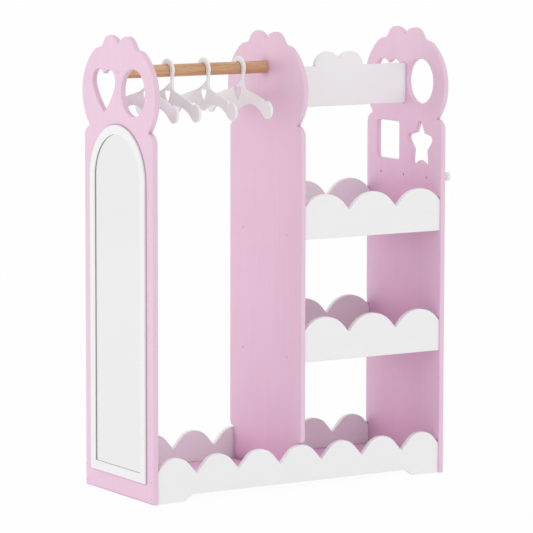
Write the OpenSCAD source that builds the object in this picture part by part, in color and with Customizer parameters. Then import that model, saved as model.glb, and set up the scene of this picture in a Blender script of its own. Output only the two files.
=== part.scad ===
// Dress-up storage unit for a child: three crown-headed side panels, scalloped boards,
// a hanging rod with four hangers, pegs and an arched mirror on the left side.
// Millimetres. X runs left to right, Y front to back, Z up from the floor.
// The origin is on the floor, in the middle of the whole unit's width and depth.

/* [Case] */
// Depth of the side panels
depth = 365; // [330:1:400]
// Overall height, floor to the top of the crowns
panel_h = 1221; // [1160:1:1290]
// Thickness of the panels
panel_t = 15; // [14:0.5:18]
// Clear width of the left bay, where the clothes hang
bay_left_w = 440.5; // [400:0.5:500]
// Clear width of the right bay, with the shelves
bay_right_w = 437.5; // [400:0.5:500]
// Thickness of the rails, fences, shelves and fascia
board_t = 15; // [12:0.5:18]
// Clearance of a screw or dowel in its hole, per side
fit_gap = 0.1; // [0.05:0.05:0.2]

/* [Panel heads] */
// Depth that the rounded head stands out past the panel, each side
head_overhang = 12.6; // [8:0.1:18]
// From the crown's top down to the widest level of the head
head_drop = 154; // [145:1:165]
// Rise of the head's oval above its widest level
head_rise = 150; // [142:1:156]
// Depth of the neck notch, measured in from the panel's edge
neck_in = 25.4; // [20:0.1:30]
// Short upright at the bottom of the neck notch
neck_flat = 3; // [2:0.5:5]
// Radius of the shoulder below the neck
shoulder_r = 30; // [26:1:36]
// Angle on the oval where the head turns into the crown's saddle
saddle_angle = 46.4; // [44:0.1:49]
// Radius of that saddle
saddle_r = 60; // [54:1:66]
// Radius of the hollow between the saddle and a crown lobe
hollow_r = 28; // [16:1:34]
// Distance of each crown lobe's peak from the panel's middle
crown_u = 45.5; // [42:0.5:49]
// Outer radius of a crown lobe
crown_out_r = 40; // [36:1:44]
// Inner radius of a crown lobe, towards the middle groove
crown_in_r = 61; // [56:1:66]

/* [Cut-outs] */
// Distance of the cut-out centres from the panel's middle
cut_u = 77.5; // [74:0.5:80]
// Drop of the round cut-out's centre below the crown's top
ring_drop = 146; // [142:1:150]
// Diameter of the round cut-out
ring_d = 124; // [112:1:126]
// Width of the heart cut-out
heart_w = 121; // [110:1:124]
// Height of the heart cut-out
heart_h = 112; // [104:1:114]
// Drop of the heart's top below the crown's top
heart_drop = 92; // [90:1:96]
// Drop of the heart's middle notch below its lobes
heart_notch = 11; // [9:0.5:13]
// Drop of the square's and the star's centres below the neck
low_cut_drop = 74; // [70:1:78]
// Width of the rounded square
square_w = 108; // [96:1:112]
// Height of the rounded square
square_h = 106; // [96:1:110]
// Corner radius of the square
square_r = 8; // [5:1:12]
// Radius of the star out to its points, before they are rounded
star_r = 72; // [68:1:74]
// Radius of the star at its inner corners
star_in_r = 38; // [36:1:40]
// Rounding of the star's points
star_tip_r = 10; // [7:0.5:11]
// Height of the star over its width, as it is a little stretched
star_stretch = 1.08; // [1:0.01:1.1]
// Drop of the star's centre below the square's centre
star_sink = 5; // [0:0.5:7]

/* [Rails] */
// Height of the front and rear rails
rail_h = 118.5; // [110:0.5:130]
// Set-back of the front rail and fences from the panels' front edges
front_setback = 5; // [1:0.5:10]
// Number of lobes on a rail
rail_lobes = 7; // [5:1:8]
// Depth of the scallops, peak to valley
scallop_rise = 46; // [42:1:52]
// Slope of a scallop's flank
scallop_flank = 49; // [46:1:54]
// Rounding at the bottom of a valley
valley_r = 3; // [1:0.5:6]
// Length by which a board's end stops short of the next valley
scallop_cut = 10.2; // [8:0.1:12]
// Length of each foot under a rail
foot_l = 82; // [60:1:110]
// Length of the slope from the foot up to the recess
foot_slope = 25; // [20:1:34]
// Rounding of the slope's two ends
foot_r = 12; // [4:1:16]
// Height of the toe recess, and of the bottom board's underside
recess_h = 17.8; // [14:0.1:24]

/* [Middle panel] */
// Depth of the notches that let the rails pass
notch_in = 21.5; // [21:0.1:26]
// Gap over a rail's lobe in the notch
notch_over = 3.5; // [2:0.5:6]
// Rounding of the corner above a notch
notch_r = 14; // [8:1:18]

/* [Shelves] */
// Height of the lower shelf's underside above the floor
lower_z = 341; // [320:1:360]
// Height of the upper shelf's underside above the floor
upper_z = 672; // [650:1:690]
// Height of a shelf fence
fence_h = 119; // [110:1:130]
// Number of lobes on a fence
fence_lobes = 3; // [2:1:3]

/* [Fascia] */
// Drop of the fascia's underside below the crown's top
fascia_drop = 209; // [200:1:220]
// Height of the fascia's straight part
fascia_h = 109.5; // [100:0.5:112]
// Radius of the two cloud lobes
cloud_r = 42; // [38:1:46]
// Distance of a cloud lobe's centre from the fascia's middle
cloud_u = 36; // [32:1:38]
// Depth of the cloud lobes' centres below the straight edge
cloud_sink = 3.5; // [1:0.5:6]

/* [Rod and hangers] */
// Diameter of the hanging rod
rod_d = 33.5; // [30:0.5:35]
// Drop of the rod's axis below the crown's top
rod_drop = 96; // [94:0.5:99]
// Thickness of a hanger
hanger_t = 8; // [6:0.5:10]
// Running gap between a hook and the rod
hook_gap = 0.4; // [0.3:0.1:0.6]
// Width of the hook's ring
hook_w = 14.7; // [12:0.1:16]
// Angle below the rod's axis at which the hook ends
hook_end = 16; // [10:1:24]
// Reach of a hanger's arm from the rod's axis
arm_reach = 169; // [160:1:172]
// Radius of the round arm tip
arm_tip_r = 24; // [21:0.5:25]
// Drop of the tips' centres below the rod's axis
arm_drop = 104; // [102:1:108]
// Drop of the arch under an arm
arch_drop = 93; // [92:0.5:95]
// Distance of the arch's top from the hanger's middle
arch_u = 60; // [56:1:64]
// Radius of the lobe under the hanger's middle
belly_r = 14; // [10:1:18]
// Width of the heart in a hanger
hanger_heart_w = 34; // [28:1:36]
// Height of the heart in a hanger
hanger_heart_h = 36; // [30:1:38]
// Drop of that heart's top below the rod's axis
hanger_heart_drop = 51; // [49:0.5:53]

/* [Pegs] */
// Drop of the pegs below the crown's top
peg_drop = 409; // [400:1:430]
// Distance between neighbouring pegs
peg_pitch = 112; // [90:1:125]
// Diameter of a peg's stem
peg_d = 12; // [10:0.5:14]
// Diameter of a peg's knob
knob_d = 25; // [20:0.5:28]
// Length of a peg, panel to the end of the knob
peg_l = 60; // [45:0.5:66]

/* [Mirror] */
// Width of the mirror frame
mirror_w = 290; // [270:1:300]
// Height of the frame's bottom above the floor
mirror_z = 51.5; // [45:0.5:60]
// Drop of the frame's arched top below the crown's top
mirror_drop = 234; // [232:1:245]
// Width of the frame's border
mirror_border = 25; // [20:0.5:30]
// Thickness of the frame
mirror_t = 6; // [5:0.5:8]
// Corner radius at the frame's foot
mirror_corner_r = 3; // [2:0.5:6]
// Thickness of the mirror pane
pane_t = 2; // [1.5:0.5:3]
// Width of the rebate that holds the pane
rebate_w = 6; // [4:0.5:8]

/* [Fixings] */
// Diameter of a connecting screw's head
screw_head_d = 9; // [8:0.5:10]
// Diameter of a connecting screw's shank
screw_shank_d = 6.5; // [6:0.1:7]
// Diameter of a connecting screw's threaded core
screw_core_d = 4.8; // [4.4:0.1:5.2]
// Thickness of a connecting screw's head
screw_head_t = 3; // [2:0.5:4]
// Length of a connecting screw
screw_l = 50; // [45:1:55]
// Width over the corners of the socket in its head
hex_d = 4.6; // [4:0.1:5]
// Depth of that socket
hex_deep = 2.2; // [1.5:0.1:2.5]
// Height of the lower rail screws
screw_low_z = 15; // [11:0.5:20]
// Height of the upper rail screws
screw_high_z = 59; // [50:0.5:68]
// Distance of the shelf screws from the shelf's middle, front and rear
shelf_screw_u = 112; // [95:1:125]
// Diameter of a wooden dowel
dowel_d = 8; // [6:0.5:9]
// Length of a wooden dowel
dowel_l = 30; // [26:1:34]
// Depth of a dowel in the side panel
dowel_in = 9; // [8:0.5:10]
// Diameter of a small wood screw's head
small_head_d = 7; // [6:0.5:8]
// Depth of a small wood screw's countersunk head
small_head_t = 2.4; // [2:0.1:3]
// Diameter of a small wood screw
small_d = 3.5; // [3:0.1:4]
// Length of each stroke of the cross in its head
cross_l = 3.2; // [2.8:0.1:3.6]
// Width of each stroke
cross_w = 0.8; // [0.6:0.1:1]
// Depth of the cross
cross_deep = 1.2; // [0.8:0.1:1.5]

/* [Hidden] */

pink = "#ebc6dc";
white = "#f4f4f4";
beech = "#c89a6c";
silver = "#b9bcc0";
glass = "#dfe5e8";

// Largest departure of a drawn curve from its true arc
curve_sag = 0.08;
// Angle between neighbouring points of the heads' ovals
oval_step = 3;
// Sides of the round cut-outs and the rod, of the pegs, and of the screws and dowels
ring_fn = 96;
peg_fn = 64;
screw_fn = 32;
// Overshoot of a cut past the face that it opens
clear = 1;

// A heart's shape, over its width: where a lobe peaks, and the radius of its long sides
heart_peak = 0.24;
heart_side = 1.65;

// A hanger's neck, in steps out from and down from the hook's seat, and the radii of its bends
neck_front_step = [9, 9];
neck_rear_step = [1.5, 11];
crotch_front_step = [11, 34];
crotch_rear_out = 2.5;
neck_front_r = 30;
neck_rear_r = 6;
crotch_front_r = 16;
crotch_rear_r = 60;
// The step between an arm and its round tip
step_angle = 126;
heel_rise = 8;
heel_r = 8;

// A peg's knob, over its diameter or its length
knob_length = 0.56;
knob_rounding = 0.3;
knob_hollow = 0.12;

// Places of hidden fixings, as shares of the board that they hold
floor_screw_at = 0.25;
bottom_dowel_at = 0.3;
fence_dowel_at = 0.45;
fascia_dowel_at = 0.25;
// Share of a peg or of the mirror frame that its screw enters
small_screw_bite = 0.6;

half_d = depth / 2;
case_w = bay_left_w + bay_right_w + 3 * panel_t;
// The mirror frame and the pegs stand out at the two sides.
x_left = (mirror_t - case_w - peg_l) / 2;
x_bay = x_left + panel_t;
x_mid = x_bay + bay_left_w;
x_shelf = x_mid + panel_t;
x_right = x_shelf + bay_right_w;
x_end = x_right + panel_t;
rail_l = x_right - x_bay;

front_y = front_setback - half_d;
shelf_y = front_y + board_t;
rear_y = half_d - board_t;
shelf_d = rear_y - shelf_y;
floor_top = recess_h + board_t;

rod_z = panel_h - rod_drop;
peg_z = panel_h - peg_drop;
fascia_z = panel_h - fascia_drop;
mirror_top = panel_h - mirror_drop;

head_a = half_d + head_overhang;
head_z = panel_h - head_drop;
neck_u = half_d - neck_in;
neck_angle = acos(neck_u / head_a);
neck_z = head_z - head_rise * sin(neck_angle);
low_cut_z = neck_z - low_cut_drop;

// Four hangers, by the distance of each near face from the left panel
hanger_at = [65.3, 132.3, 243.5, 353.1];

function unit(v) = v / norm(v);
function angle_of(v) = atan2(v.y, v.x);
function mirrored(points) = [for (i = [len(points) - 1:-1:0]) [-points[i].x, points[i].y]];

// Points along an arc, close enough that no chord leaves it by more than curve_sag.
function arc(centre, r, from, to) =
    let (steps = max(2, ceil(abs(to - from) / (2 * acos(1 - curve_sag / r)))))
    [for (i = [0:steps]) let (a = from + (to - from) * i / steps) centre + r * [cos(a), sin(a)]];

// The corner at p, between a and b, rounded to radius r.
function rounded(a, p, b, r) =
    let (u = unit(a - p), v = unit(b - p), half = acos(u * v) / 2)
    let (centre = p + unit(u + v) * r / sin(half))
    let (from = angle_of(p + u * r / tan(half) - centre), to = angle_of(p + v * r / tan(half) - centre))
    arc(centre, r, from, from + (to - from + 540) % 360 - 180);

// A closed outline with every corner rounded to radius r.
function rounded_loop(points, r) =
    let (n = len(points))
    [for (i = [0:n - 1]) each rounded(points[(i + n - 1) % n], points[i], points[(i + 1) % n], r)];

// Where circles about a and b of radii ra and rb cross, on the given side of the line from a to b.
function crossing(a, ra, b, rb, side) =
    let (d = norm(b - a), e = unit(b - a), along = (ra * ra - rb * rb + d * d) / (2 * d))
    a + along * e + side * sqrt(ra * ra - along * along) * [-e.y, e.x];

// Right side of a panel's head, from the shoulder up to the groove in the crown.
function head_side() =
    let (sweep = acos(1 - neck_in / shoulder_r))
    let (shoulder = [half_d - shoulder_r, neck_z - neck_flat - shoulder_r * sin(sweep)])
    let (steps = ceil((neck_angle + saddle_angle) / oval_step))
    let (turn = [head_a * cos(saddle_angle), head_z + head_rise * sin(saddle_angle)])
    let (out = unit([head_rise * cos(saddle_angle), head_a * sin(saddle_angle)]))
    let (saddle = turn - saddle_r * out)
    let (lobe = [crown_u, panel_h - crown_out_r], inner = [crown_u, panel_h - crown_in_r])
    let (hollow = crossing(saddle, saddle_r + hollow_r, lobe, crown_out_r + hollow_r, -1))
    concat(
        arc(shoulder, shoulder_r, 0, sweep),
        [for (i = [0:steps]) let (a = -neck_angle + (neck_angle + saddle_angle) * i / steps)
            [head_a * cos(a), head_z + head_rise * sin(a)]],
        arc(saddle, saddle_r, angle_of(out), angle_of(hollow - saddle)),
        arc(hollow, hollow_r, angle_of(saddle - hollow), angle_of(lobe - hollow)),
        arc(lobe, crown_out_r, angle_of(hollow - lobe), 90),
        arc(inner, crown_in_r, 90, acos(-crown_u / crown_in_r))
    );

// A board that stands across the width, its outline drawn in (Y, Z), its thickness along +X.
module standing(x, t) translate([x, 0, 0]) rotate([90, 0, 90]) linear_extrude(t) children();

// A board that faces the front, its outline drawn in (X, Z), its thickness from y backwards.
module facing(y, t) translate([0, y + t, 0]) rotate([90, 0, 0]) linear_extrude(t) children();

module heart_shape(w, h, notch) {
    u = heart_peak * w;
    out_r = w / 2 - u;
    in_r = (u * u + notch * notch) / (2 * notch);
    side_r = heart_side * w;
    lobe = [u, -out_r];
    side = crossing(lobe, side_r - out_r, [0, -h], side_r, -1);
    right = concat(
        arc(side, side_r, angle_of([0, -h] - side), angle_of(lobe - side)),
        arc(lobe, out_r, angle_of(lobe - side), 90),
        arc([u, -in_r], in_r, 90, acos(-u / in_r))
    );
    polygon(concat(right, mirrored(right)));
}

// A five-pointed star; its points are rounded more than the corners between them.
module star_shape() {
    corners = 10;
    points = [for (i = [0:corners - 1])
        let (r = i % 2 == 0 ? star_r : star_in_r, a = 360 / corners * i) r * [sin(a), cos(a)]];
    outline = [for (i = [0:corners - 1])
        let (r = i % 2 == 0 ? star_tip_r : star_tip_r / 2)
        each rounded(points[(i + corners - 1) % corners], points[i], points[(i + 1) % corners], r)];
    scale([1, star_stretch]) polygon(outline);
}

// The two cut-outs in the head: a heart towards the back, a circle towards the front.
module head_cuts() {
    translate([cut_u, panel_h - heart_drop]) heart_shape(heart_w, heart_h, heart_notch);
    translate([-cut_u, panel_h - ring_drop]) circle(d = ring_d, $fn = ring_fn);
}

module side_outline() {
    side = concat([[half_d, 0]], head_side());
    polygon(concat(side, mirrored(side)));
}

// Fixings, each drawn along +X from its head. grow is the clearance of its hole.
module drive_screw(grow = 0) {
    rotate([0, 90, 0]) {
        cylinder(d = screw_head_d + 2 * grow, h = screw_head_t, $fn = screw_fn);
        cylinder(d = screw_shank_d + 2 * grow, h = panel_t, $fn = screw_fn);
        cylinder(d = screw_core_d + 2 * grow, h = screw_l + grow, $fn = screw_fn);
    }
}

module small_screw(l, grow = 0) {
    rotate([0, 90, 0]) {
        cylinder(d1 = small_head_d + 2 * grow, d2 = small_d + 2 * grow, h = small_head_t, $fn = screw_fn);
        cylinder(d = small_d + 2 * grow, h = l + grow, $fn = screw_fn);
    }
}

module dowel(grow = 0) {
    translate([-dowel_in - grow, 0, 0])
        rotate([0, 90, 0]) cylinder(d = dowel_d + 2 * grow, h = dowel_l + 2 * grow, $fn = screw_fn);
}

module hex_socket()
    rotate([0, 90, 0]) translate([0, 0, -clear]) cylinder(d = hex_d, h = hex_deep + clear, $fn = 6);

module cross_socket() {
    for (turn = [0, 90])
        rotate([turn, 0, 0]) translate([-clear, -cross_l / 2, -cross_w / 2])
            cube([cross_deep + clear, cross_l, cross_w]);
}

// Rail ends: two screws into each rail, front and rear, through each outer panel.
module at_rail_screws() {
    for (y = [front_y + board_t / 2, rear_y + board_t / 2])
        for (z = [screw_low_z, screw_high_z])
            translate([0, y, z]) children();
}
module left_screw_set(grow = 0) translate([x_left, 0, 0]) at_rail_screws() drive_screw(grow);
module right_screw_set(grow = 0)
    translate([x_end, 0, 0]) at_rail_screws() mirror([1, 0, 0]) drive_screw(grow);

// Screws up through the bottom board into the middle panel's foot.
module floor_screw_set(grow = 0) {
    for (y = [-floor_screw_at, floor_screw_at] * shelf_d)
        translate([x_mid + panel_t / 2, y, recess_h]) rotate([0, -90, 0]) drive_screw(grow);
}

module rod_screw_set(grow = 0) {
    translate([x_left, 0, rod_z]) drive_screw(grow);
    translate([x_shelf, 0, rod_z]) mirror([1, 0, 0]) drive_screw(grow);
}

module at_pegs() for (i = [-1:1]) translate([x_right, i * peg_pitch, peg_z]) children();
module peg_screw_set(grow = 0) at_pegs() small_screw(panel_t + small_screw_bite * peg_l, grow);

// Frame screws come from the inside face of the left panel, three up each leg of the frame.
module mirror_screw_set(grow = 0) {
    z_foot = mirror_z + 2 * mirror_border;
    z_spring = mirror_top - mirror_w / 2;
    for (side = [-1, 1])
        for (z = [z_foot, (z_foot + z_spring) / 2, z_spring])
            translate([x_bay, side * (mirror_w - mirror_border) / 2, z])
                mirror([1, 0, 0]) small_screw(panel_t + small_screw_bite * mirror_t, grow);
}

// The bottom board: dowels into both outer panels.
module bottom_dowel_set(grow = 0) {
    for (y = [-bottom_dowel_at, bottom_dowel_at] * shelf_d) {
        translate([x_bay, y, recess_h + board_t / 2]) dowel(grow);
        translate([x_right, y, recess_h + board_t / 2]) mirror([1, 0, 0]) dowel(grow);
    }
}

module bay_dowels(y, z, grow) {
    translate([x_shelf, y, z]) dowel(grow);
    translate([x_right, y, z]) mirror([1, 0, 0]) dowel(grow);
}

// Two screws into each shelf's end, through the middle panel and through the right panel.
module at_shelf_screws(x) {
    for (z = [lower_z, upper_z])
        for (y = [-shelf_screw_u, shelf_screw_u])
            translate([x, y, z + board_t / 2]) children();
}
module shelf_screw_set(grow = 0) {
    at_shelf_screws(x_mid) drive_screw(grow);
    at_shelf_screws(x_end) mirror([1, 0, 0]) drive_screw(grow);
}

module fence_dowel_set(grow = 0) {
    for (z = [lower_z, upper_z])
        for (y = [front_y, rear_y])
            bay_dowels(y + board_t / 2, z + fence_dowel_at * fence_h, grow);
}

module fascia_dowel_set(grow = 0) {
    for (at = [fascia_dowel_at, 1 - fascia_dowel_at]) bay_dowels(0, fascia_z + at * fascia_h, grow);
}

module left_panel() color(pink) difference() {
    standing(x_left, panel_t) difference() {
        side_outline();
        head_cuts();
    }
    left_screw_set(fit_gap);
    rod_screw_set(fit_gap);
    mirror_screw_set(fit_gap);
    bottom_dowel_set(fit_gap);
}

module middle_outline() {
    notch_z = rail_h + notch_over;
    foot = [half_d - notch_in, floor_top];
    side = concat(
        [foot, [foot.x, notch_z]],
        arc([half_d - notch_r, notch_z + notch_r], notch_r, -90, 0),
        head_side()
    );
    polygon(concat(side, mirrored(side)));
}

module middle_panel() color(pink) difference() {
    standing(x_mid, panel_t) middle_outline();
    floor_screw_set(fit_gap);
    rod_screw_set(fit_gap);
    shelf_screw_set(fit_gap);
    fence_dowel_set(fit_gap);
    fascia_dowel_set(fit_gap);
}

module right_panel() color(pink) difference() {
    standing(x_right, panel_t) difference() {
        side_outline();
        head_cuts();
        translate([-cut_u, low_cut_z - star_sink]) star_shape();
        translate([cut_u, low_cut_z]) polygon(rounded_loop(
            [for (s = [[-1, -1], [1, -1], [1, 1], [-1, 1]]) [s.x * square_w, s.y * square_h] / 2],
            square_r));
    }
    right_screw_set(fit_gap);
    peg_screw_set(fit_gap);
    bottom_dowel_set(fit_gap);
    shelf_screw_set(fit_gap);
    fence_dowel_set(fit_gap);
    fascia_dowel_set(fit_gap);
}

// Scalloped top edge of a board of length l, from its right end to its left end.
// Each lobe is an arc on top and two straight flanks down to the rounded valleys.
function scallops(l, lobes, h) =
    let (pitch = (l + 2 * scallop_cut) / lobes, slope = tan(scallop_flank))
    let (r = (pitch / 2 * slope - scallop_rise)
        / (sin(scallop_flank) * slope - 1 + cos(scallop_flank)))
    let (end_z = h - scallop_rise + scallop_cut * slope)
    concat(
        [[l, end_z]],
        [for (i = [lobes - 1:-1:0]) let (x = pitch * (i + 0.5) - scallop_cut)
            each concat(
                arc([x, h - r], r, 90 - scallop_flank, 90 + scallop_flank),
                i > 0 ? arc([x - pitch / 2, h - scallop_rise + valley_r / cos(scallop_flank)],
                    valley_r, scallop_flank - 90, -90 - scallop_flank) : [])],
        [[0, end_z]]
    );

// Underside of a rail's left half: the foot, and the rounded slope up to the toe recess.
function rail_foot() =
    let (top_end = [foot_l + foot_slope, recess_h])
    concat(
        [[0, 0]],
        rounded([0, 0], [foot_l, 0], top_end, foot_r),
        rounded([foot_l, 0], top_end, [rail_l / 2, recess_h], foot_r)
    );

module rail(y) facing(y, board_t) translate([x_bay, 0]) polygon(concat(
    rail_foot(),
    [for (p = mirrored(rail_foot())) [p.x + rail_l, p.y]],
    scallops(rail_l, rail_lobes, rail_h)
));

module fence(y, z) facing(y, board_t) translate([x_shelf, z])
    polygon(concat([[0, 0], [bay_right_w, 0]], scallops(bay_right_w, fence_lobes, fence_h)));

module front_rail() color(white) difference() {
    rail(front_y);
    left_screw_set(fit_gap);
    right_screw_set(fit_gap);
}

module rear_rail() color(white) difference() {
    rail(rear_y);
    left_screw_set(fit_gap);
    right_screw_set(fit_gap);
}

module bottom_board() color(pink) difference() {
    translate([x_bay, shelf_y, recess_h]) cube([rail_l, shelf_d, board_t]);
    bottom_dowel_set(fit_gap);
    floor_screw_set(fit_gap);
}

module shelf(z) color(pink) difference() {
    translate([x_shelf, shelf_y, z]) cube([bay_right_w, shelf_d, board_t]);
    shelf_screw_set(fit_gap);
}

module drilled_fence(y, z) color(white) difference() {
    fence(y, z);
    fence_dowel_set(fit_gap);
}

module lower_shelf() shelf(lower_z);
module upper_shelf() shelf(upper_z);
module lower_front_fence() drilled_fence(front_y, lower_z);
module lower_rear_fence() drilled_fence(rear_y, lower_z);
module upper_front_fence() drilled_fence(front_y, upper_z);
module upper_rear_fence() drilled_fence(rear_y, upper_z);

// The fascia is a plank with a two-lobed cloud on its top edge.
module fascia() color(white) difference() {
    facing(-board_t / 2, board_t) translate([x_shelf, fascia_z]) {
        low = asin(cloud_sink / cloud_r);
        lobe = arc([cloud_u, fascia_h - cloud_sink], cloud_r, low, acos(-cloud_u / cloud_r));
        edge = concat([[bay_right_w / 2, 0], [bay_right_w / 2, fascia_h]], lobe);
        translate([bay_right_w / 2, 0]) polygon(concat(edge, mirrored(edge)));
    }
    fascia_dowel_set(fit_gap);
}

module hanging_rod() color(beech) difference() {
    translate([x_bay, 0, rod_z]) rotate([0, 90, 0]) cylinder(d = rod_d, h = bay_left_w, $fn = ring_fn);
    rod_screw_set(fit_gap);
}

// One hanger's outline about the rod's axis: a hook, two arms with round tips and a round belly.
module hanger_outline() {
    in_r = rod_d / 2 + hook_gap;
    out_r = in_r + hook_w;
    tip = [arm_reach - arm_tip_r, -arm_drop];
    rise = arm_drop - arch_drop;
    span = tip.x - arch_u;
    arch_r = (span * span + rise * rise - arm_tip_r * arm_tip_r) / (2 * (arm_tip_r + rise));
    arch = [arch_u, -arch_drop - arch_r];
    belly = [0, arch.y + sqrt(pow(arch_r + belly_r, 2) - arch_u * arch_u)];
    step = tip + arm_tip_r * [cos(step_angle), sin(step_angle)];
    heel = step + [-heel_rise, heel_rise];
    // Underside and tip of the rear arm, from the belly outwards and round.
    arm = concat(
        arc(belly, belly_r, -90, angle_of(arch - belly)),
        arc(arch, arch_r, angle_of(belly - arch), angle_of(tip - arch)),
        arc(tip, arm_tip_r, angle_of(arch - tip), step_angle)
    );
    seat = [-in_r, -in_r];
    neck_front = seat - neck_front_step;
    neck_rear = seat - neck_rear_step;
    crotch_front = seat - crotch_front_step;
    crotch_rear = [in_r + crotch_rear_out, crotch_front.y];
    heel_front = [-heel.x, heel.y];
    polygon(concat(
        arc([0, 0], out_r, -hook_end, 180),
        rounded([-out_r, 0], neck_front, crotch_front, neck_front_r),
        rounded(neck_front, crotch_front, heel_front, crotch_front_r),
        rounded(crotch_front, heel_front, [-step.x, step.y], heel_r),
        mirrored(arm),
        arm,
        rounded(step, heel, crotch_rear, heel_r),
        rounded(heel, crotch_rear, neck_rear, crotch_rear_r),
        rounded(crotch_rear, neck_rear, [-in_r, 0], neck_rear_r),
        arc([0, 0], in_r, 180, -hook_end),
        arc((in_r + hook_w / 2) * [cos(hook_end), -sin(hook_end)], hook_w / 2, -180 - hook_end, -hook_end)
    ));
}

module hanger(i) color(white)
    standing(x_bay + hanger_at[i], hanger_t) translate([0, rod_z]) difference() {
        hanger_outline();
        translate([0, -hanger_heart_drop])
            heart_shape(hanger_heart_w, hanger_heart_h, heart_notch * hanger_heart_w / heart_w);
    }

module hanger_1() hanger(0);
module hanger_2() hanger(1);
module hanger_3() hanger(2);
module hanger_4() hanger(3);

// A turned peg: a stem that swells into a rounded knob.
module peg(i) color(white) difference() {
    knob_l = knob_length * knob_d;
    edge_r = knob_rounding * knob_l;
    neck_r = knob_hollow * knob_d;
    stem_r = peg_d / 2;
    translate([x_end, i * peg_pitch, peg_z]) rotate([0, 90, 0]) rotate_extrude($fn = peg_fn)
        polygon(concat(
            [[0, 0], [stem_r, 0]],
            arc([stem_r + neck_r, peg_l - knob_l - neck_r], neck_r, 180, 90),
            arc([knob_d / 2 - edge_r, peg_l - knob_l + edge_r], edge_r, -90, 0),
            arc([knob_d / 2 - edge_r, peg_l - edge_r], edge_r, 0, 90),
            [[0, peg_l]]
        ));
    peg_screw_set(fit_gap);
}

module peg_1() peg(-1);
module peg_2() peg(0);
module peg_3() peg(1);

// A door-shaped outline with an arched top; inset narrows it all round.
module arch_shape(inset, corner) {
    r = mirror_w / 2 - inset;
    foot = mirror_z + inset;
    spring = mirror_top - mirror_w / 2;
    polygon(concat(
        rounded([-r, spring], [-r, foot], [r, foot], corner),
        rounded([-r, foot], [r, foot], [r, spring], corner),
        arc([0, spring], r, 0, 180)
    ));
}

module mirror_frame() color(white) difference() {
    standing(x_left - mirror_t, mirror_t) difference() {
        arch_shape(0, mirror_corner_r);
        arch_shape(mirror_border, mirror_corner_r);
    }
    standing(x_left - pane_t - fit_gap, pane_t + fit_gap + clear)
        arch_shape(mirror_border - rebate_w, mirror_corner_r);
    mirror_screw_set(fit_gap);
}

module mirror_pane() color(glass)
    standing(x_left - pane_t, pane_t) arch_shape(mirror_border - rebate_w + 2 * fit_gap, mirror_corner_r);

module left_screws() color(silver) difference() {
    left_screw_set();
    translate([x_left, 0, 0]) at_rail_screws() hex_socket();
}

module right_screws() color(silver) difference() {
    right_screw_set();
    translate([x_end, 0, 0]) at_rail_screws() hex_socket();
}

module floor_screws() color(silver) floor_screw_set();

module rod_screws() color(silver) difference() {
    rod_screw_set();
    translate([x_left, 0, rod_z]) hex_socket();
    translate([x_shelf, 0, rod_z]) mirror([1, 0, 0]) hex_socket();
}

module shelf_screws() color(silver) difference() {
    shelf_screw_set();
    at_shelf_screws(x_mid) hex_socket();
    at_shelf_screws(x_end) mirror([1, 0, 0]) hex_socket();
}

module peg_screws() color(silver) difference() {
    peg_screw_set();
    at_pegs() cross_socket();
}

module mirror_screws() color(silver) mirror_screw_set();
module bottom_dowels() color(beech) bottom_dowel_set();
module fence_dowels() color(beech) fence_dowel_set();
module fascia_dowels() color(beech) fascia_dowel_set();

left_panel();
middle_panel();
right_panel();
bottom_board();
front_rail();
rear_rail();
upper_shelf();
lower_shelf();
upper_front_fence();
upper_rear_fence();
lower_front_fence();
lower_rear_fence();
fascia();
hanging_rod();
hanger_1();
hanger_2();
hanger_3();
hanger_4();
peg_1();
peg_2();
peg_3();
mirror_frame();
mirror_pane();
left_screws();
right_screws();
floor_screws();
rod_screws();
shelf_screws();
peg_screws();
mirror_screws();
bottom_dowels();
fence_dowels();
fascia_dowels();
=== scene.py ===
# %% [markdown]
# # A dress-up storage unit with a side mirror
# The unit is a knock-down piece of children's furniture: three tall pink boards with crown-shaped
# heads, white scalloped boards between them, a beech rod with four hangers, three pegs and an
# arched mirror. Its shapes and sizes come from the imported model, which is loaded first. No piece
# of it is moved or reshaped here: some get a finish, and softer copies stand in for the others.
# The lesson shows how cut boards get soft edges, how paint, beech and mirror glass are built from shader
# nodes, where shade is painted into the paint's colour, and how a white studio is lit so that white paint
# still has shape.

# %% Load the model and keep its box
import math

import bmesh
import bpy
from mathutils import Matrix, Vector


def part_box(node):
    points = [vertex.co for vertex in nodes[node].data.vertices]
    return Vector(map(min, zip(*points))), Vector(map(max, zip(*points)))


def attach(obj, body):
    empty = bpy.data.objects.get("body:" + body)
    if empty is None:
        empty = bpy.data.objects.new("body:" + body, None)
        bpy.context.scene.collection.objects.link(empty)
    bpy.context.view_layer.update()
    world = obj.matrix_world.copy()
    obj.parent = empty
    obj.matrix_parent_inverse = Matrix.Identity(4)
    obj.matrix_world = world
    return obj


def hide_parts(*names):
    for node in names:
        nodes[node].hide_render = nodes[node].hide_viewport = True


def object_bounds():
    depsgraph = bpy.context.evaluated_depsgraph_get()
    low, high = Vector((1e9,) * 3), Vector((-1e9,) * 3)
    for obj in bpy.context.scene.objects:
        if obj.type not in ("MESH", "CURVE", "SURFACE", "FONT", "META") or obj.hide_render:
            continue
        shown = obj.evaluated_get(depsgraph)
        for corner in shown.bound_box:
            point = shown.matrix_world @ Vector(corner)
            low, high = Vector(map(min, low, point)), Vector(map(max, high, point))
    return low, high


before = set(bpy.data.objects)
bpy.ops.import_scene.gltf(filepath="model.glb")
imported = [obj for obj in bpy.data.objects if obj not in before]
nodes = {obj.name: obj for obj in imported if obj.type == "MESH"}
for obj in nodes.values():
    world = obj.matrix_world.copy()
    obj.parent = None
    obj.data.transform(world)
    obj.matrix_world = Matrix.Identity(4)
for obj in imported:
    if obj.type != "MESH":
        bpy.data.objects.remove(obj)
cad_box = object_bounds()
print("nodes:", len(nodes), "box:", [list(corner) for corner in cad_box])

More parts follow.
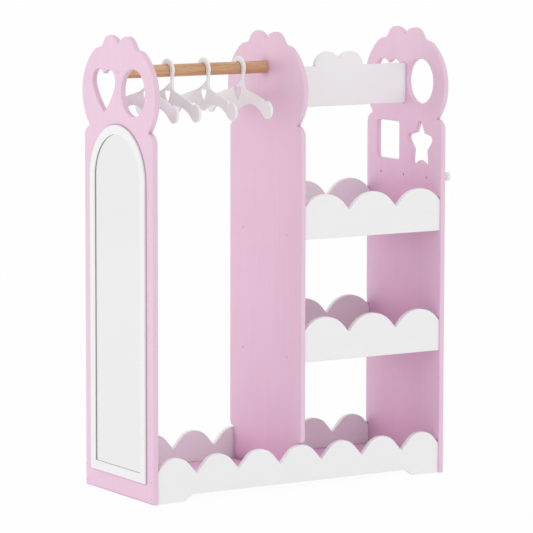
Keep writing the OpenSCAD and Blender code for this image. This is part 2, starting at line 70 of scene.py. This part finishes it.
# %% [markdown]
# ## Camera
# The picture is taken from far off with a long lens, so upright lines stay nearly upright. A
# camera could be aimed with a Track To constraint, but here its three axes are worked out from
# the turn, the tilt and the slight roll, and put in its matrix directly. Its place is given from
# the lower front corner of the left panel. The bottom board, which starts 20 mm behind it, is used
# to find that corner, because the panel's head is deeper than its foot. The panels hide or show
# each other exactly as in the picture only if the place and the lens are both right.

# %% Set up the camera
MM = 0.001
IMAGE_PX = 533
LENS_PX = 3403.45
FILM_WIDTH = 36
FAR = 200
TURN, TILT, ROLL = 0.558813, 0.12285, 0.001735
PANEL_AHEAD = 20 * MM
EYE_FROM_CORNER = Vector((-4398.8, -7588.9, 1714.4)) * MM
panel_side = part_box("left_panel")[0].x
panel_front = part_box("bottom_board")[0].y - PANEL_AHEAD
EYE = Vector((panel_side, panel_front, 0)) + EYE_FROM_CORNER


def placed(name, data):
    """A new object in the scene, at the origin."""
    thing = bpy.data.objects.new(name, data)
    bpy.context.scene.collection.objects.link(thing)
    return thing


def camera_axes(turn, tilt, roll):
    """The camera's right, its up and its back, which are the columns of its matrix."""
    ahead = Vector((math.sin(turn) * math.cos(tilt), math.cos(turn) * math.cos(tilt), -math.sin(tilt)))
    level = Vector((math.cos(turn), -math.sin(turn), 0))
    up = level.cross(ahead)
    right = math.cos(roll) * level + math.sin(roll) * up
    return right, right.cross(ahead), -ahead


camera_data = bpy.data.cameras.new("camera")
camera_data.sensor_width = FILM_WIDTH
camera_data.lens = LENS_PX / IMAGE_PX * FILM_WIDTH
camera_data.clip_end = FAR
camera = placed("camera", camera_data)
aimed = Matrix(camera_axes(TURN, TILT, ROLL)).transposed().to_4x4()
camera.matrix_world = Matrix.Translation(EYE) @ aimed
bpy.context.scene.camera = camera
print("lens:", round(camera_data.lens, 1), "mm, eye:", [round(v, 2) for v in EYE])

# %% [markdown]
# ## Shader helpers
# Every finish here is a few nodes on one Principled shader. Some small helpers keep that readable.
# One turns a colour as seen on a screen into the linear colour that the shader wants. One adds a
# node and wires its inputs, and one does the same for a bit of arithmetic. The others are the
# steps that every finish is made of: a noise, a blend between two colours, one colour multiplied
# by another, and a fine relief. The numbers are set straight on the sockets, so a finish holds no
# spare nodes.

# %% Colours, nodes and arithmetic
X, Y, Z = range(3)
UNTINTED = [1.0, 1.0, 1.0, 1.0]


def linear(r, g, b):
    """A screen colour from 0 to 255 as the shader's linear colour."""
    return [((v / 255 + 0.055) / 1.055) ** 2.4 for v in (r, g, b)] + [1.0]


def lighter(colour, by):
    """The colour made lighter by a share of itself, or darker where the share is below 0."""
    return [min(1.0, v * (1 + by)) for v in colour[:3]] + [1.0]


def put(tree, socket, value):
    """Sets a socket to a value, or wires it to another node's output."""
    if isinstance(value, bpy.types.NodeSocket):
        tree.links.new(value, socket)
    else:
        socket.default_value = value


def add(tree, kind, **inputs):
    """Adds a node; an input is a value or another node's output."""
    node = tree.nodes.new(kind)
    for name, value in inputs.items():
        put(tree, node.inputs[name.replace("_", " ")], value)
    return node


def maths(tree, operation, *values):
    """A Math node on one to three values or outputs."""
    node = add(tree, "ShaderNodeMath")
    node.operation = operation
    for socket, value in zip(node.inputs, values):
        put(tree, socket, value)
    return node.outputs[0]


# %% The steps of a finish
def new_finish(name, rough):
    """A material, its node tree and shader, and the place on the piece that its noise reads."""
    material = bpy.data.materials.new(name)
    material.use_nodes = True
    tree = material.node_tree
    shader = tree.nodes["Principled BSDF"]
    shader.inputs["Roughness"].default_value = rough
    where = add(tree, "ShaderNodeTexCoord").outputs["Object"]
    return material, tree, shader, where


def noise(tree, where, scale, detail, **more):
    return add(tree, "ShaderNodeTexNoise", Vector=where, Scale=scale, Detail=detail, **more).outputs["Fac"]


def grained(tree, where, scales, detail, **more):
    """Noise with a scale each for X, Y and Z: it runs along the axis with the smallest."""
    along = add(tree, "ShaderNodeMapping", Vector=where, Scale=scales).outputs["Vector"]
    return noise(tree, along, 1.0, detail, **more)


# %% Blends, tints and relief
def blend(tree, amount, dark, light, low=0.0, high=1.0):
    """The dark colour up to the amount low, the light one from high on, and a ramp between."""
    ramp = add(tree, "ShaderNodeValToRGB", Fac=amount)
    for end, colour, position in zip(ramp.color_ramp.elements, (dark, light), (low, high)):
        end.color = colour
        end.position = position
    return ramp.outputs["Color"]


def multiplied(tree, first, second, amount=1.0):
    """Multiplies two colours. On this node, inputs 6 and 7 and output 2 are the ones for colour."""
    mix = add(tree, "ShaderNodeMix", Factor=amount)
    mix.data_type = "RGBA"
    mix.blend_type = "MULTIPLY"
    tree.links.new(first, mix.inputs[6])
    tree.links.new(second, mix.inputs[7])
    return mix.outputs[2]


def relief(tree, shader, height, strength, depth):
    bump = add(tree, "ShaderNodeBump", Height=height, Strength=strength, Distance=depth)
    tree.links.new(bump.outputs["Normal"], shader.inputs["Normal"])


# %% [markdown]
# ## Painted shade in sheltered places
# Here shade is painted into the colour: an Ambient Occlusion node finds where other surfaces are near, and
# the paint is made darker there. It is used in three ways. One reaches a third of a metre and deepens the
# colour where boards face each other, painting the shade and the deeper tint that their light on each
# other would give. One paints a soft contact shadow beside a joint on a broad face: it reaches 7 mm on the
# outer panels and the shelves, and 28 mm on the middle panel and the bottom board. One works on the cut
# edges alone and counts only the board's own faces, so it paints shade on the walls of the small windows.
# The normal tells the broad faces from the cut edges.

# %% Painted shade in sheltered places
# Painted shade: the tints darken the paint where other boards are near, the joint shadows paint a contact
# shadow beside a joint, and the window shade paints shade on the window walls.
NEARBY_RAYS = 8
SHADE_REACH = 350 * MM
SHADE_LIMITS = (0.2, 0.85)
PINK_SHADE_TINT = [1.0, 0.93, 1.01, 1.0]
BOARD_SHADE_TINT = [0.97, 0.99, 0.975, 1.0]
HANGER_SHADE_TINT = [0.88, 0.89, 0.89, 1.0]
JOINT_SHADOW_LIMITS = (0.5, 0.95)
SHELF_JOINT_SHADOW = (7 * MM, [0.75, 0.6, 0.68, 1.0])
BAY_JOINT_SHADOW = (28 * MM, [0.7, 0.6, 0.66, 1.0])
FRAME_JOINT_SHADOW = (7 * MM, [0.54, 0.48, 0.52, 1.0])
WINDOW_SHADE_REACH = 130 * MM
WINDOW_SHADE_LIMITS = (0.55, 0.93)
WINDOW_SHADE = [0.82, 0.74, 0.79, 1.0]
SQUARE_ON = 0.97


def painted_shade(tree, reach, darkest, limits, by_itself=False):
    """Painted shade: white in the open, down to the darkest colour where faces are near; by_itself counts
    only the board's own."""
    near = add(tree, "ShaderNodeAmbientOcclusion", Distance=reach)
    near.samples = NEARBY_RAYS
    near.only_local = by_itself
    return blend(tree, near.outputs["AO"], darkest, UNTINTED, *limits)


def on_faces(tree, axis, test):
    """1 on faces that are square to axis (GREATER_THAN), or on the others (LESS_THAN), else 0."""
    normal = add(tree, "ShaderNodeTexCoord").outputs["Normal"]
    turned = add(tree, "ShaderNodeSeparateXYZ", Vector=normal).outputs[axis]
    return maths(tree, test, maths(tree, "ABSOLUTE", turned), SQUARE_ON)


# %% [markdown]
# ## Painted board
# The boards are fibreboard with a sprayed satin paint. Sprayed paint is never one flat colour: it
# has a broad cloudiness of one to three per cent, faint streaks along the board left by the sanded
# primer, and a fine orange-peel surface that softens the reflections. All three are noise on
# Object coordinates, so they stay in the board when it is seen from another side. A picture of
# paint could be laid on instead, but it would need a flat layout for each board.

# %% Sprayed paint
CLOUD_SCALE = 7.0
STREAK_SHARE = 0.5
MOTTLE_LIMITS = (0.3, 0.7)
PEEL_SCALE = 420.0
PEEL_STRENGTH = 0.06
PEEL_DEPTH = 0.4 * MM


def painted(name, colour, grain, rough=0.42, spread=0.03, shade_tint=None, broad=None, joint_shadow=SHELF_JOINT_SHADOW):
    """A sprayed board; shade_tint is the painted shade where boards face each other, broad the axis square
    to its faces, and joint_shadow the reach and the colour of the painted contact shadow beside whatever
    is fixed to them."""
    material, tree, shader, where = new_finish(name, rough)
    cloud = noise(tree, where, CLOUD_SCALE, detail=3.0)
    streak = maths(tree, "MULTIPLY", grained(tree, where, grain, detail=4.0), STREAK_SHARE)
    mottle = maths(tree, "MULTIPLY_ADD", cloud, 1 - STREAK_SHARE, streak)
    paint = blend(tree, mottle, lighter(colour, -spread), lighter(colour, spread), *MOTTLE_LIMITS)
    # Painted shade: the colour is darkened where boards face each other, in a contact shadow beside joints
    # on the broad faces, and on the walls of the windows.
    if shade_tint is not None:
        paint = multiplied(tree, paint, painted_shade(tree, SHADE_REACH, shade_tint, SHADE_LIMITS))
    if broad is not None:
        line = painted_shade(tree, *joint_shadow, JOINT_SHADOW_LIMITS)
        paint = multiplied(tree, paint, line, on_faces(tree, broad, "GREATER_THAN"))
        # Painted shade on the walls of the windows, counting the board's own faces only.
        wall = painted_shade(tree, WINDOW_SHADE_REACH, WINDOW_SHADE, WINDOW_SHADE_LIMITS, by_itself=True)
        paint = multiplied(tree, paint, wall, on_faces(tree, broad, "LESS_THAN"))
    tree.links.new(paint, shader.inputs["Base Color"])
    peel = noise(tree, where, PEEL_SCALE, detail=2.0)
    relief(tree, shader, peel, PEEL_STRENGTH, PEEL_DEPTH)
    return material


# %% Pink paint
UPRIGHT_GRAIN = (90, 90, 3)
LEVEL_GRAIN = (3, 90, 90)


def pink(name, grain, broad, joint_shadow):
    return painted(name, linear(239, 205, 225), grain, shade_tint=PINK_SHADE_TINT, broad=broad, joint_shadow=joint_shadow)


PINK_MIRROR_SIDE = pink("pink_paint_mirror_side", UPRIGHT_GRAIN, X, FRAME_JOINT_SHADOW)
PINK_BAY_SIDE = pink("pink_paint_bay_side", UPRIGHT_GRAIN, X, BAY_JOINT_SHADOW)
PINK_SHELF_SIDE = pink("pink_paint_shelf_side", UPRIGHT_GRAIN, X, SHELF_JOINT_SHADOW)
PINK_FLOOR = pink("pink_paint_floor", LEVEL_GRAIN, Z, BAY_JOINT_SHADOW)
PINK_SHELF = pink("pink_paint_shelf", LEVEL_GRAIN, Z, SHELF_JOINT_SHADOW)
print("upright pink:", [paint.name for paint in (PINK_MIRROR_SIDE, PINK_BAY_SIDE, PINK_SHELF_SIDE)])
print("level pink:", [paint.name for paint in (PINK_FLOOR, PINK_SHELF)])

# %% White paint and painted screws
SMOOTH_ROUGH = 0.35
WHITE_SPREAD = 0.012
# Painted shade: the boards' and the hangers' whites are darkened where other surfaces are near.
WHITE = painted("white_paint", linear(249, 248, 249), LEVEL_GRAIN, spread=WHITE_SPREAD,
                shade_tint=BOARD_SHADE_TINT)
WHITE_SMALL = painted("white_paint_small", linear(246, 245, 246), UPRIGHT_GRAIN,
                      rough=SMOOTH_ROUGH, spread=WHITE_SPREAD)
WHITE_HANGER = painted("white_hanger_paint", linear(247, 247, 247), UPRIGHT_GRAIN,
                       rough=SMOOTH_ROUGH, spread=WHITE_SPREAD, shade_tint=HANGER_SHADE_TINT)
PALE_SCREW = painted("pale_screw_paint", linear(236, 206, 222), UPRIGHT_GRAIN)
# Painted shade: the pegs' screws are a deeper pink that stands in for the shade on them.
SHADED_SCREW = painted("shaded_screw_paint", linear(190, 150, 172), UPRIGHT_GRAIN)
print("white:", [paint.name for paint in (WHITE, WHITE_SMALL, WHITE_HANGER)])
print("painted screws:", [paint.name for paint in (PALE_SCREW, SHADED_SCREW)])

# %% [markdown]
# ## Beech, mirror, steel and the painted shade strip
# Beech shows fine dashes that run along the dowel, so its noise is stretched along X, with a second, finer
# noise for the short dark flecks. A mirror could be given a picture to show, but as a metal with almost no
# roughness it takes its picture from the room, from every side. Most of the screws are brushed steel. A
# thin dark strip inside the frame, around the pane, paints the shade along the frame's inner wall as a
# line.

# %% Beech
BEECH_GRAIN = (5, 120, 120)
BEECH_FLECKS = (45, 900, 900)
WOOD_LIMITS = (0.3, 0.68)
FLECK_LIMITS = (0.3, 0.42)
FLECK_SHADE = [0.72, 0.66, 0.6, 1.0]
FLECK_STRENGTH = 0.15
FLECK_DEPTH = 0.3 * MM


def beech_finish():
    material, tree, shader, where = new_finish("beech", rough=0.45)
    grain = grained(tree, where, BEECH_GRAIN, detail=5.0, Roughness=0.6)
    wood = blend(tree, grain, linear(192, 140, 101), linear(230, 188, 145), *WOOD_LIMITS)
    fleck = grained(tree, where, BEECH_FLECKS, detail=1.0)
    dash = blend(tree, fleck, FLECK_SHADE, UNTINTED, *FLECK_LIMITS)
    tree.links.new(multiplied(tree, wood, dash), shader.inputs["Base Color"])
    relief(tree, shader, fleck, FLECK_STRENGTH, FLECK_DEPTH)
    return material


BEECH = beech_finish()
print("wood:", BEECH.name)

# %% Mirror and steel
def metal_finish(name, colour, rough, brush, spread):
    material, tree, shader, where = new_finish(name, rough)
    shader.inputs["Metallic"].default_value = 1.0
    lines = grained(tree, where, brush, detail=3.0)
    shade = blend(tree, lines, lighter(colour, -spread), colour)
    tree.links.new(shade, shader.inputs["Base Color"])
    return material


MIRROR = metal_finish("mirror_glass", linear(237, 237, 237), rough=0.02, brush=(3, 3, 3), spread=0.006)
STEEL = metal_finish("screw_steel", linear(234, 230, 233), rough=0.5, brush=(400, 400, 400), spread=0.03)
print("metals:", MIRROR.name, STEEL.name)

# %% Shade strip inside the mirror frame
SPECK_SCALE = 300.0


# Painted shade: a dark grey that stands in for the shade inside the mirror frame.
def shade_strip_finish():
    material, tree, shader, where = new_finish("dark_shade_strip", rough=0.7)
    speck = noise(tree, where, SPECK_SCALE, detail=2.0)
    shade = blend(tree, speck, linear(92, 92, 92), linear(112, 112, 112))
    tree.links.new(shade, shader.inputs["Base Color"])
    return material


SHADE_STRIP = shade_strip_finish()
print("shade_strip:", SHADE_STRIP.name)

# %% [markdown]
# ## Soft edges on cut boards
# A router leaves every long edge of a painted board slightly rounded, and that thin round is what
# catches the light along each outline. The cut shape is right already, so a copy of the model's
# mesh is merged, its flat triangles are joined, and only the rim between a broad face and the
# edge is bevelled. Small screw holes keep a crisp rim, and so do the ends of the boards that butt
# against a panel, because a joint only closes between square ends. A Bevel modifier would take
# less work, but it would round those too.

# %% A clean copy of a model piece
WELD = 0.01 * MM
FLAT_ENOUGH = math.radians(0.5)


def merged_copy(node):
    bm = bmesh.new()
    bm.from_mesh(nodes[node].data)
    bmesh.ops.remove_doubles(bm, verts=bm.verts, dist=WELD)
    bmesh.ops.dissolve_limit(bm, angle_limit=FLAT_ENOUGH, verts=bm.verts, edges=bm.edges)
    bm.normal_update()
    return bm


# %% The rims that a router rounds
BROAD_FACE = 0.99
SMALL_HOLE = 16 * MM
AT_THE_END = 0.1 * MM


def rim_edges(bm, axis):
    """Edges between a broad face, square to axis, and the cut edge of the board."""
    broad = {f for f in bm.faces if abs(f.normal[axis]) > BROAD_FACE}
    return [e for e in bm.edges if len(e.link_faces) == 2 and sum(f in broad for f in e.link_faces) == 1]


def without_small_loops(edges):
    """Leaves out the rims of screw holes, which are short closed loops."""
    wanted, seen, chosen = set(edges), set(), []
    for start in edges:
        if start in seen:
            continue
        loop, stack = [], [start]
        seen.add(start)
        while stack:
            edge = stack.pop()
            loop.append(edge)
            for vert in edge.verts:
                for other in vert.link_edges:
                    if other in wanted and other not in seen:
                        seen.add(other)
                        stack.append(other)
        points = [v.co for e in loop for v in e.verts]
        size = max(max(p[i] for p in points) - min(p[i] for p in points) for i in (X, Y, Z))
        if size > SMALL_HOLE:
            chosen += loop
    return chosen


def without_ends(bm, edges):
    """Leaves out the rims of the two end faces that butt against the panels, at both ends along X."""
    ends = [pick(v.co.x for v in bm.verts) for pick in (min, max)]
    return [e for e in edges if not any(all(abs(v.co.x - x) < AT_THE_END for v in e.verts) for x in ends)]


# %% Finish a piece, and ease a board
SHARP = math.radians(40)


def finish_piece(bm, name, node, body, material):
    """Makes the piece from its bmesh; node is the model piece that it stands for, if there is one."""
    mesh = bpy.data.meshes.new(name)
    bm.to_mesh(mesh)
    bm.free()
    mesh.shade_smooth()
    mesh.set_sharp_from_angle(angle=SHARP)
    mesh.materials.append(material)
    piece = placed(name, mesh)
    weighted = piece.modifiers.new("even_shading", "WEIGHTED_NORMAL")
    weighted.keep_sharp = True
    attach(piece, body)
    if node:
        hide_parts(node)
    return piece


def eased_board(node, axis, ease, material, body="unit"):
    bm = merged_copy(node)
    rims = without_small_loops(rim_edges(bm, axis))
    if axis != X:
        rims = without_ends(bm, rims)
    bmesh.ops.bevel(bm, geom=rims, offset=ease, offset_type="OFFSET", segments=3, profile=0.5,
                    affect="EDGES", material=-1, clamp_overlap=False)
    print(node, "rims:", len(rims), "faces:", len(bm.faces))
    return finish_piece(bm, node + "_eased", node, body, material)


# %% [markdown]
# ## The three pink panels
# Each panel is one board on edge, so its broad faces look along X. The same router went round all three.
# Each has its own pink finish, which differs only in the contact shadow painted beside what is fixed to
# it: the mirror frame on the left one, the boards of the hanging bay on the middle one, and the shelves on
# the right one.

# %% Pink panels
PANEL_EASE = 3.0 * MM
for node, paint in (("left_panel", PINK_MIRROR_SIDE), ("middle_panel", PINK_BAY_SIDE),
                    ("right_panel", PINK_SHELF_SIDE)):
    eased_board(node, X, PANEL_EASE, paint)

# %% [markdown]
# ## White boards and pink shelves
# Rails, fences and the fascia face the front, so their broad faces look along Y. The bottom board
# and the shelves lie flat. They could share one easing, but the level boards meet the upright ones
# along their length, so their edges are eased the least.

# %% Rails, fences, fascia, shelves
BOARD_EASE = 1.6 * MM
SHELF_EASE = 0.8 * MM
for node in ("front_rail", "rear_rail", "upper_front_fence", "upper_rear_fence", "lower_front_fence",
             "lower_rear_fence", "fascia"):
    eased_board(node, Y, BOARD_EASE, WHITE)
for node, paint in (("bottom_board", PINK_FLOOR), ("upper_shelf", PINK_SHELF),
                    ("lower_shelf", PINK_SHELF)):
    eased_board(node, Z, SHELF_EASE, paint)

# %% [markdown]
# ## Hangers
# A hanger is one thin board with a hook, a heart window and well rounded edges. It could be built from
# bent rods, but the real one is cut from a board, so it is eased as the panels are. Each turns with its
# own body.

# %% Hangers
HANGERS = 4
HANGER_EASE = 2.6 * MM
for number in range(1, HANGERS + 1):
    name = f"hanger_{number}"
    eased_board(name, X, HANGER_EASE, WHITE_HANGER, body=name)

# %% [markdown]
# ## Mirror
# The frame is a ring of thin board, and the pane lies behind its inner lip. The pane is flat and exact
# already, so it only gets its finish. A thin dark strip just inside the frame paints the shade along its
# inner wall. The frame's inner faces lose their front 3 mm and get a thickness, so the strip follows the
# arch.

# %% Mirror frame and pane
FRAME_EASE = 1.2 * MM
eased_board("mirror_frame", X, FRAME_EASE, WHITE_SMALL)
nodes["mirror_pane"].data.materials.clear()
nodes["mirror_pane"].data.materials.append(MIRROR)

# %% Dark strip of painted shade inside the frame
SHADE_STRIP_T = 0.8 * MM
SHADE_STRIP_BACK = 3.0 * MM
ON_EDGE = 0.3


# Painted shade: a thin dark strip put along the frame's inner wall, where there is only shade.
def mirror_shade_strip():
    bm = merged_copy("mirror_frame")
    low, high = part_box("mirror_frame")
    middle = (low + high) / 2
    inner = {f for f in bm.faces
             if abs(f.normal.x) < ON_EDGE and f.normal.dot(middle - f.calc_center_median()) > 0}
    bmesh.ops.delete(bm, geom=[f for f in bm.faces if f not in inner], context="FACES")
    bmesh.ops.bisect_plane(bm, geom=bm.verts[:] + bm.edges[:] + bm.faces[:],
                           plane_co=(low.x + SHADE_STRIP_BACK, 0, 0), plane_no=(1, 0, 0), clear_inner=True)
    bmesh.ops.solidify(bm, geom=bm.faces[:], thickness=SHADE_STRIP_T)
    print("shade_strip faces:", len(bm.faces), "x:", [round(v.co.x, 4) for v in bm.verts[:2]])
    return finish_piece(bm, "mirror_shade_strip", None, "unit", SHADE_STRIP)


mirror_shade_strip()

# %% [markdown]
# ## Rod, pegs and fixings
# The rod and the pegs are round. They could be turned anew with a spin, but the model's shapes are right
# already, so their copies are merged and shaded smooth. Screws and dowels keep the model's own shape. The
# shelves' screws are painted almost like the panels, the pegs' screws get a deeper pink that paints the
# shade on them, and the rest are steel. The dowels are beech.

# %% Rod and pegs
PEGS = 3


def smooth_copy(node, material):
    return finish_piece(merged_copy(node), node + "_smooth", node, "unit", material)


smooth_copy("hanging_rod", BEECH)
for number in range(1, PEGS + 1):
    smooth_copy(f"peg_{number}", WHITE_SMALL)

# %% Screws and dowels
FIXING = {name: BEECH if name.endswith("_dowels") else STEEL
          for name in nodes if name.endswith(("_screws", "_dowels"))}
FIXING.update(shelf_screws=PALE_SCREW, peg_screws=SHADED_SCREW)
for name, finish in FIXING.items():
    nodes[name].data.materials.clear()
    nodes[name].data.materials.append(finish)
print("fixings:", {name: finish.name for name, finish in FIXING.items()})

# %% [markdown]
# ## Floor
# The paper roll that a white studio has on its floor looks pure white in a picture, but a plain
# white floor would render grey. Light Path tells apart the rays that the camera and the mirror
# send from the rays that light the object. For the first, the floor is nearly all white paper of
# strength 1, and what is left of its own colour keeps the faint shadow under the unit. For the
# others about a third of it is such paper, so it also lights the boards a little from below, as a
# light table does.

# %% What the camera and the mirror look at
def looked_at(tree):
    """1 for a ray from the camera, a reflection or glass, 0 for a ray that gathers light."""
    path = add(tree, "ShaderNodeLightPath")
    seen = path.outputs["Is Camera Ray"]
    for extra in ("Is Glossy Ray", "Is Transmission Ray"):
        seen = maths(tree, "MAXIMUM", seen, path.outputs[extra])
    return seen


# %% Floor
WHITE_LIGHT = (1, 1, 1, 1)
PAPER = 0.96
GLOW = 0.35
FLOOR_HALF = 30.0
FLOOR_COLOUR = (0.97, 0.97, 0.97, 1)
FLOOR_ROUGH = 0.9
FLOOR_SHINE = 0.1


def pale_floor():
    bm = bmesh.new()
    bmesh.ops.create_grid(bm, x_segments=1, y_segments=1, size=FLOOR_HALF)
    mesh = bpy.data.meshes.new("floor")
    bm.to_mesh(mesh)
    bm.free()
    material = bpy.data.materials.new("pale_floor")
    material.use_nodes = True
    tree = material.node_tree
    shader = tree.nodes["Principled BSDF"]
    shader.inputs["Base Color"].default_value = FLOOR_COLOUR
    shader.inputs["Roughness"].default_value = FLOOR_ROUGH
    shader.inputs["Specular IOR Level"].default_value = FLOOR_SHINE
    paper = add(tree, "ShaderNodeEmission", Color=WHITE_LIGHT, Strength=1.0)
    choose = add(tree, "ShaderNodeMixShader")
    put(tree, choose.inputs[0], maths(tree, "MULTIPLY_ADD", looked_at(tree), PAPER - GLOW, GLOW))
    put(tree, choose.inputs[1], shader.outputs[0])
    put(tree, choose.inputs[2], paper.outputs[0])
    tree.links.new(choose.outputs[0], tree.nodes["Material Output"].inputs["Surface"])
    mesh.materials.append(material)
    floor = placed("floor", mesh)
    print("floor:", 2 * FLOOR_HALF, "m wide")


pale_floor()

# %% [markdown]
# ## Room and lamp
# A white studio is mostly light from everywhere, and here the room itself gives it. It is a fifth
# stronger from the front, a fifth weaker from behind and a little weaker from above, which gives
# the white boards some shape. The camera and the mirror see it as plain white. An even room with
# more lamps would do too, but each lamp adds shadows. One broad lamp stands far off, behind the
# unit and to its left, its middle about level with the unit's top. It brightens every face that
# looks left and throws the soft shadows of the hangers on the middle panel. A small or near lamp
# would draw those shadows too sharply.

# %% Room light
ROOM = 0.835
ROOM_LEAN = (0.02, -0.17, -0.06)


def white_room():
    world = bpy.data.worlds.new("room")
    bpy.context.scene.world = world
    world.use_nodes = True
    tree = world.node_tree
    tree.nodes.clear()
    lean = add(tree, "ShaderNodeVectorMath")
    lean.operation = "DOT_PRODUCT"
    put(tree, lean.inputs[0], add(tree, "ShaderNodeTexCoord").outputs["Generated"])
    put(tree, lean.inputs[1], ROOM_LEAN)
    level = maths(tree, "ADD", lean.outputs["Value"], ROOM)
    light = add(tree, "ShaderNodeBackground", Color=WHITE_LIGHT, Strength=level)
    shown = add(tree, "ShaderNodeBackground", Color=WHITE_LIGHT, Strength=1.0)
    choose = add(tree, "ShaderNodeMixShader")
    put(tree, choose.inputs[0], looked_at(tree))
    put(tree, choose.inputs[1], light.outputs[0])
    put(tree, choose.inputs[2], shown.outputs[0])
    out = add(tree, "ShaderNodeOutputWorld")
    tree.links.new(choose.outputs[0], out.inputs["Surface"])
    print("room light:", ROOM, "leaning", ROOM_LEAN)


white_room()

# %% Soft lamp
LAMP_TOWARDS = Vector((-0.8, 0.6, 0.1))
LAMP_AWAY = 6.0
LAMP_SIDE = 2.8
LAMP_WATTS = 60.0


def soft_lamp():
    data = bpy.data.lights.new("soft_lamp", "AREA")
    data.size = LAMP_SIDE
    data.energy = LAMP_WATTS
    lamp = placed("soft_lamp", data)
    middle = (cad_box[0] + cad_box[1]) / 2
    way = LAMP_TOWARDS.normalized()
    facing = way.to_track_quat("Z", "Y").to_matrix().to_4x4()
    lamp.matrix_world = Matrix.Translation(middle + LAMP_AWAY * way) @ facing
    lamp.visible_camera = lamp.visible_glossy = False
    print("lamp at", [round(v, 2) for v in lamp.matrix_world.translation])


soft_lamp()
bpy.context.scene.view_settings.view_transform = "Standard"
